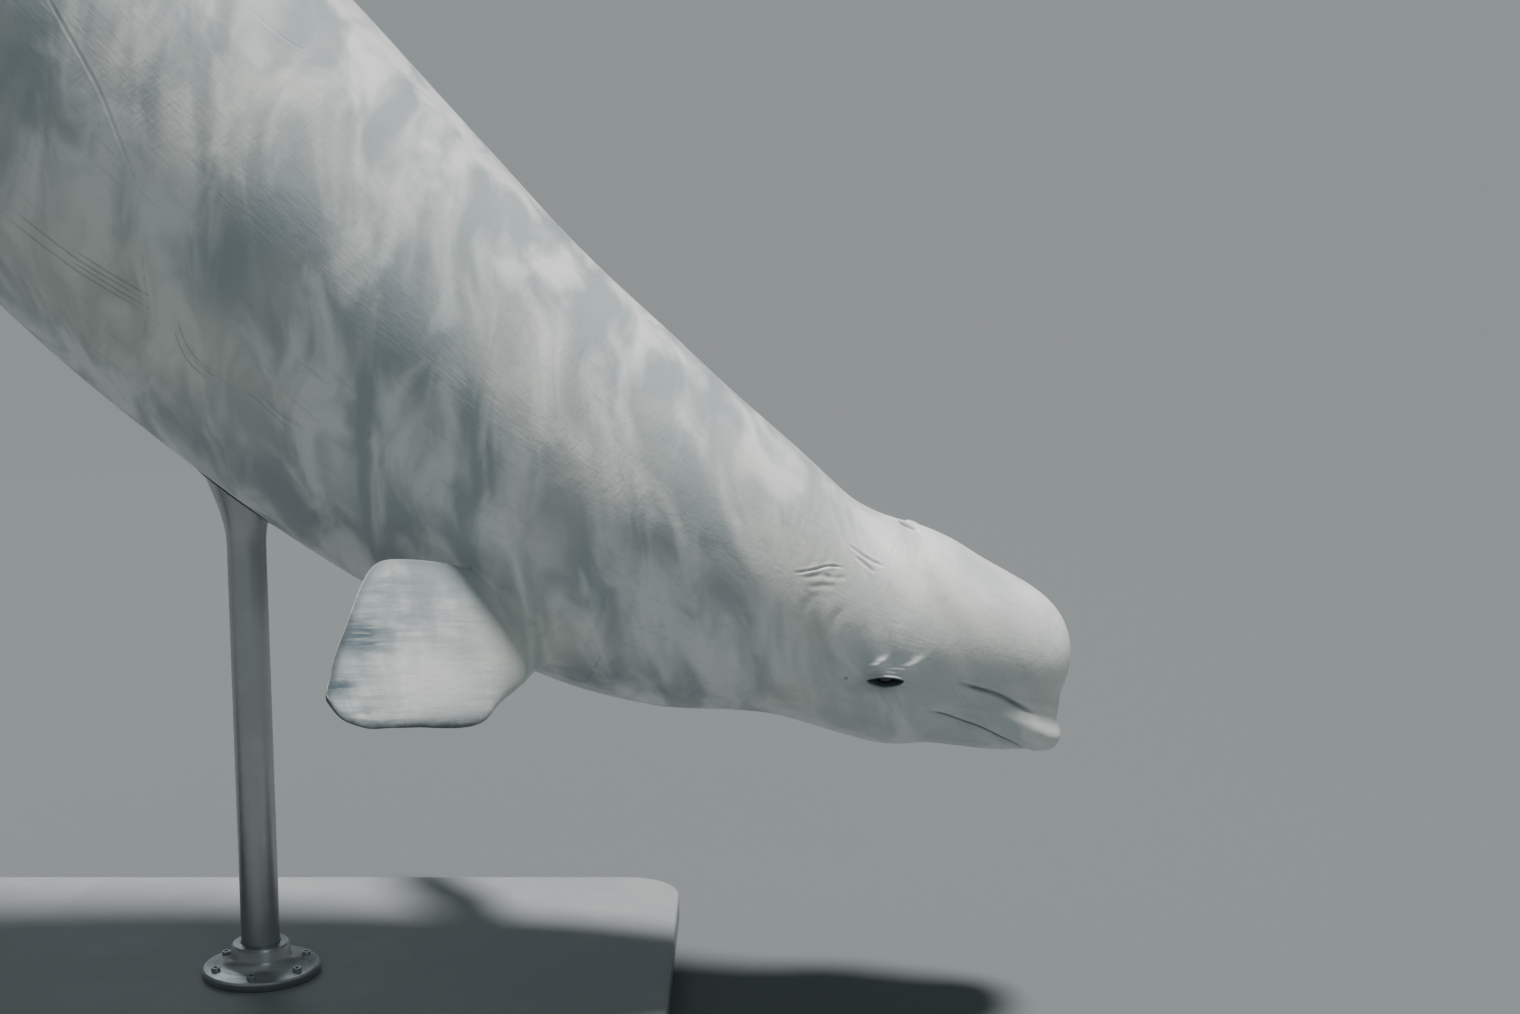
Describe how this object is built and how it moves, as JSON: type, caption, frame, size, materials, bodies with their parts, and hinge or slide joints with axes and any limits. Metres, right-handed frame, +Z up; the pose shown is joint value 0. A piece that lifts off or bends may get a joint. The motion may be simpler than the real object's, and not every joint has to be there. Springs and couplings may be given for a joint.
{
  "type": "beluga whale",
  "caption": "Life-size still model of a swimming beluga whale, nose down, carried on rods over a flat base.",
  "frame": {"origin": "centre of the underside of the stand's base", "axes": "+X the way the whale's head points, +Y the whale's left, +Z up; the whale's right side is on -Y"},
  "size_m": [3.5851, 1.224, 2.5601],
  "materials": {
    "skin": "smooth wet off-white skin with faint blue-grey mottling and fine wrinkles",
    "eye": "glossy dark brown eye",
    "stand_plate": "matt grey painted plate",
    "stand_steel": "brushed steel"
  },
  "bodies": {
    "root": {"head": "skin", "neck": "skin", "chest": "skin", "trunk": "skin", "tail_stock": "skin", "flipper_right": "skin", "flipper_left": "skin", "fluke_right": "skin", "fluke_left": "skin", "eye_right": "eye", "eye_left": "eye", "stand_base": "stand_plate", "stand_rod_front": "stand_steel", "stand_rod_rear": "stand_steel", "stand_cup_front": "stand_steel", "stand_cup_rear": "stand_steel", "stand_foot_front": "stand_steel", "stand_foot_rear": "stand_steel"}
  },
  "joints": []
}
